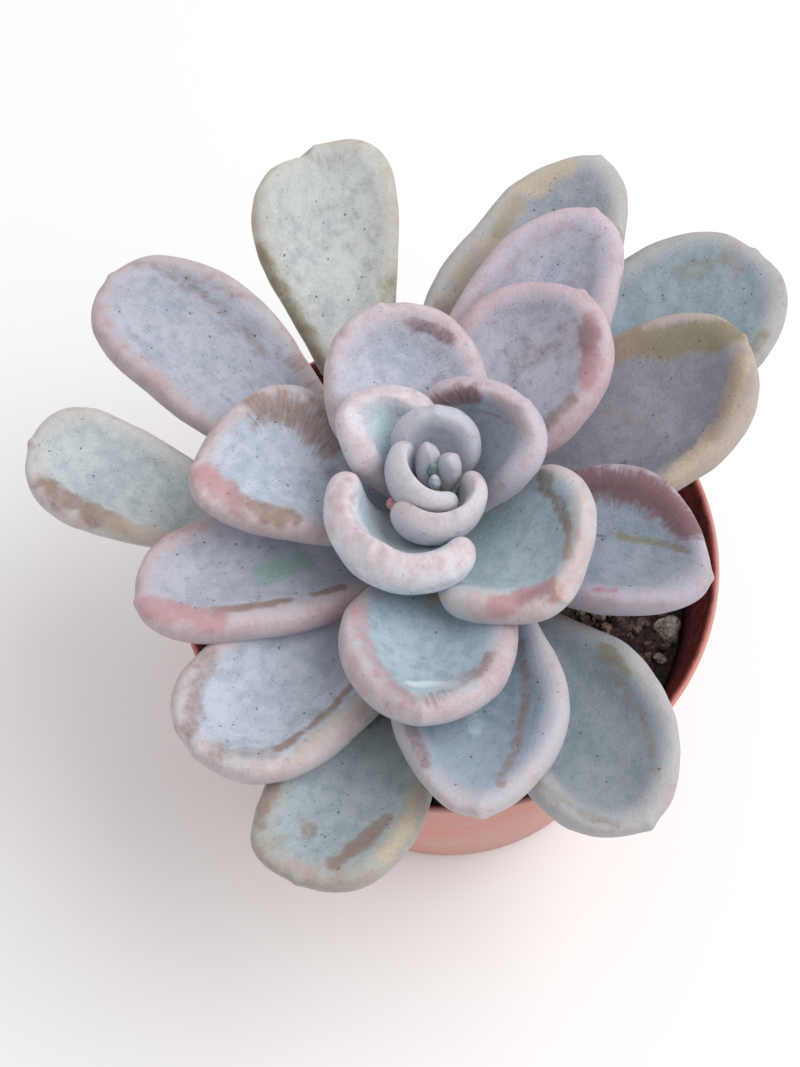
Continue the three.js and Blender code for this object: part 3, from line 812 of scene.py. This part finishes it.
def leaf_mesh(rank):
    """One leaf, bent from a sphere whose poles are its root and its tip. Its sizes are in millimetres."""
    azimuth, reach, tip_up, width, widest, thick, curl, cup, bow, hook, blunt, wedge = LEAVES[rank]
    bpy.ops.mesh.primitive_uv_sphere_add(segments=LEAF_SIDES, ring_count=LEAF_ROWS)
    leaf = added(f"leaf_{rank + 1:02d}_blade")
    ball = points_of(leaf)
    row = np.rint(np.arccos(np.clip(-ball[:, 2], -1, 1)) / pi * LEAF_ROWS)
    s = 1 - (1 - np.clip(row - 1, 0, None) / (LEAF_ROWS - 1)) ** 1.7
    turn = np.arctan2(ball[:, 1], ball[:, 0])
    across = np.where(np.hypot(ball[:, 0], ball[:, 1]) < 1e-4, 0, np.cos(turn))
    face = np.sign(np.round(np.sin(turn), 6)) * (row > 0)

    root_x = min(3.5, 0.6 + 0.35 * rank)
    root_z = FIRST_ROOT - ROOT_STEP * rank
    run, rise = reach - root_x, RIM + tip_up - root_z
    bent = radians(curl)
    bend_radius = np.hypot(run, rise) / (2 * np.sin(bent / 2))
    length = bend_radius * bent
    start = np.arctan2(rise, run) - bent / 2
    slope = start + bent * s

    # The flat blade: how far along, how far across, and how far in from the margin.
    share = outline(s, widest, blunt, wedge)
    half = width / 2 * share
    x, y = s * length, half * across
    edge_s = 1 - (1 - np.linspace(0, 1, 110)) ** 2
    edge_y = width / 2 * outline(edge_s, widest, blunt, wedge)
    edge_x = np.concatenate([edge_s, edge_s[-2::-1]]) * length
    depth, rim = inward(x, y, edge_x, np.concatenate([edge_y, -edge_y[-2::-1]]))
    depth[np.abs(across) > 0.99999] = 0

    # Its section: a fat round margin, a hollow face and a fuller back.
    round_ = thick / 2 * (0.62 + 0.38 * smooth(s, 0, 0.5))
    edge_part = np.clip(depth / round_ / np.where(face > 0, 1.5, 1), 0, 1)
    body = round_ * np.sqrt(1 - (1 - edge_part) ** 2)
    hollow = 0.08 * thick * smooth(depth, 0.4 * thick, 2.2 * thick) * smooth(s, 0.1, 0.4)
    keel = 0.24 * thick * smooth(depth, 0, 1.8 * thick)
    lift = np.where(face > 0, body - hollow, -(body + keel)) * np.abs(face)
    lift = lift + 0.07 * half * across**4

    beyond = np.clip((s - widest) / (1 - widest), 0, 1)
    fold = width / 2 / radians(cup)
    turned = across * half / fold
    hooked = hook * np.clip((s - 0.5) / 0.5, 0, 1) ** 4
    side = (fold - lift) * np.sin(turned) + bow * 4 * s * (1 - s) + hooked
    up = fold - (fold - lift) * np.cos(turned)
    up = up + 0.08 * width * beyond**3
    if rank == NOTCHED:
        step = smooth(y, -2, 5) * smooth(s, 0.6, 1)
        nick = np.exp(-(((y - 1.6) / 1.2) ** 2)) * smooth(s, 0.85, 1)
        x = x - 1.7 * step - 0.6 * nick
        slope = start + bent * x / length
    point = TIP_POINT * np.exp(-(((length - x) / 1.1) ** 2) - (y / 0.9) ** 2)

    spine_x = root_x + bend_radius * (np.sin(slope) - np.sin(start))
    spine_z = root_z - bend_radius * (np.cos(slope) - np.cos(start))
    out = spine_x - up * np.sin(slope) + point * np.cos(slope)
    high = spine_z + up * np.cos(slope) + point * np.sin(slope)
    facing = radians(azimuth)
    places = np.stack(
        [
            STEM_X + out * np.cos(facing) - side * np.sin(facing),
            STEM_Y + out * np.sin(facing) + side * np.cos(facing),
            high,
        ],
        axis=1,
    )
    drift = np.array([noise.noise_vector(Vector(place) / 13 + Vector((0, 0, 5 * rank))) for place in places])
    dents = np.array([noise.noise_vector(Vector(place) / 3.5 + Vector((0, 0, 9 * rank))) for place in places])
    places += (WANDER * drift + DENTS * dents) * smooth(s, 0, 0.3)[:, None] * thick / 5
    move_points(leaf, places * MM)

    around = np.where(face < 0, np.copysign(2, across) - across, across)
    stain_and_light, cover, brush = painted(rank, s, around, length, width, places)
    mark_points(leaf, "blade", np.stack([x, y, lift + 40.0 * rank], axis=1))
    mark_points(leaf, "streaks", np.stack([rim, depth * 0.14, np.full_like(x, 40.0 * rank)], axis=1))
    mark_points(leaf, "inward", depth)
    mark_points(leaf, "along", s)
    mark_points(leaf, "bloom_and_light", np.tile(paint(*TINTS[rank][0]), (len(x), 1)))
    mark_points(leaf, "lip", np.tile(paint(*TINTS[rank][1]), (len(x), 1)))
    mark_points(leaf, "stain_and_light", stain_and_light)
    mark_points(leaf, "cover", cover)
    mark_points(leaf, "brush", brush)
    return leaf


bloomed = Recipe("leaf_skin")
blade = bloomed.mark("blade", "Vector")
depth = bloomed.mark("inward")
swells = bloomed.noise(blade, 0.11, 3)
clouds = bloomed.noise(blade, 0.45, 4, 0.6)
mottle = bloomed.noise(blade, 1.7, 4, 0.65)
powder = bloomed.noise(blade, 7, 3, 0.6)
streaks = bloomed.noise(bloomed.mark("streaks", "Vector"), 1.6, 3, 0.6)

bloom_and_light = bloomed.mark("bloom_and_light", "Vector")
thin = bloomed.blend(1.0, bloom_and_light, (0.76, 0.8, 0.82), "MULTIPLY")
uneven = bloomed.sum("ADD", swells, clouds)
face = bloomed.blend(bloomed.between(uneven, 0.8, 1.25), bloom_and_light, thin)
green = bloomed.sum("ADD", bloomed.mark("along"), bloomed.sum("MULTIPLY", clouds, 0.3))
green = bloomed.sum("ADD", green, bloomed.sum("MULTIPLY", bloomed.mark("cover"), 0.2))
face = bloomed.blend(bloomed.between(green, 0.2, 0.52, 0.85, 0), face, paint(114, 138, 134))
lip_edge = bloomed.sum("SUBTRACT", depth, bloomed.sum("MULTIPLY", uneven, 4))
lip = bloomed.between(lip_edge, -4.4, 0.2, 0.9, 0)
face = bloomed.blend(lip, face, bloomed.blend(0.2, bloomed.mark("lip", "Vector"), bloom_and_light))
rim_wear = bloomed.sum("SUBTRACT", uneven, bloomed.sum("MULTIPLY", depth, 0.2))
worn_lip = bloomed.blend(1.0, bloomed.mark("lip", "Vector"), (0.76, 0.66, 0.67), "MULTIPLY")
face = bloomed.blend(bloomed.between(rim_wear, 0.76, 1.35, 0, 0.62), face, worn_lip)
thumbed = bloomed.sum("ADD", mottle, bloomed.sum("MULTIPLY", clouds, 1.4))
face = bloomed.blend(bloomed.between(thumbed, 1.3, 1.7, 0, 0.4), face, paint(118, 126, 130))

spots = bloomed.sum("MULTIPLY", bloomed.sum("ADD", mottle, clouds), 0.5)
pattern = bloomed.blend(bloomed.mark("brush"), spots, streaks)
# The marks: stains, rubs and scrapes, and on leaves 6 and 8 pale patches of painted light.
worn_and_lit = bloomed.sum("ADD", bloomed.mark("cover"), pattern)
rubbed_and_lit = bloomed.between(worn_and_lit, 0.82, 1.45, 0, 0.9)
face = bloomed.blend(rubbed_and_lit, face, bloomed.mark("stain_and_light", "Vector"))

off_lip = bloomed.between(depth, 0.8, 3, 0.3, 0.8)
for scale, size, rare in ((1.7, 0.17, 1.42), (0.6, 0.13, 1.45)):
    near, chance = bloomed.cells(blade, scale)
    near = bloomed.sum("ADD", near, bloomed.sum("MULTIPLY", powder, 0.2))
    here = bloomed.sum("ADD", chance, bloomed.sum("MULTIPLY", uneven, 0.95))
    reach = bloomed.between(here, rare, rare + 0.45, 0, size)
    speck = bloomed.between(bloomed.sum("SUBTRACT", near, reach), 0.06, 0.16, 1, 0)
    speck = bloomed.sum("MULTIPLY", speck, bloomed.between(here, rare, rare + 0.1))
    face = bloomed.blend(bloomed.sum("MULTIPLY", speck, off_lip), face, paint(70, 76, 78))

grain = bloomed.between(bloomed.sum("ADD", powder, mottle), 0.7, 1.3)
face = bloomed.blend(grain, bloomed.blend(1.0, face, (0.84, 0.85, 0.86), "MULTIPLY"), face)
bloomed.finish(
    Base_Color=face,
    Roughness=bloomed.between(rubbed_and_lit, 0, 1, 0.68, 0.52),
    Specular_IOR_Level=0.3,
    Sheen_Weight=0.12,
    Sheen_Roughness=0.6,
)
bloomed.relief(bloomed.sum("ADD", mottle, bloomed.sum("MULTIPLY", powder, 0.4)), 0.00022, 0.55)

noise.seed_set(DRIFT_SEED)
for rank in range(len(LEAVES)):
    leaf = leaf_mesh(rank)
    leaf.data.materials.append(bloomed.material)
    bpy.ops.object.shade_smooth()
    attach(leaf, "root")
    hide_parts(f"leaf_{rank + 1:02d}")

# ---- Floor and light ----
# A pale studio floor under a soft sky, with one wide lamp high on the right.
bpy.ops.mesh.primitive_plane_add(size=4)
studio = added("studio_floor")
paper = bpy.data.materials.new("floor_paper")
paper.use_nodes = True
paper.node_tree.nodes["Principled BSDF"].inputs["Base Color"].default_value = (0.86, 0.86, 0.86, 1)
paper.node_tree.nodes["Principled BSDF"].inputs["Roughness"].default_value = 0.9
studio.data.materials.append(paper)

world = bpy.data.worlds.new("soft_sky")
bpy.context.scene.world = world
world.use_nodes = True
world.node_tree.nodes["Background"].inputs["Color"].default_value = (0.98, 0.965, 0.975, 1)
world.node_tree.nodes["Background"].inputs["Strength"].default_value = 0.75

bpy.ops.object.light_add(type="AREA", location=(0.65, 0.05, 0.95))
lamp = bpy.context.object
lamp.data.shape = "DISK"
lamp.data.size = 1.1
lamp.data.energy = 9.5
lamp.rotation_euler = Vector(lamp.location).to_track_quat("Z", "Y").to_euler()
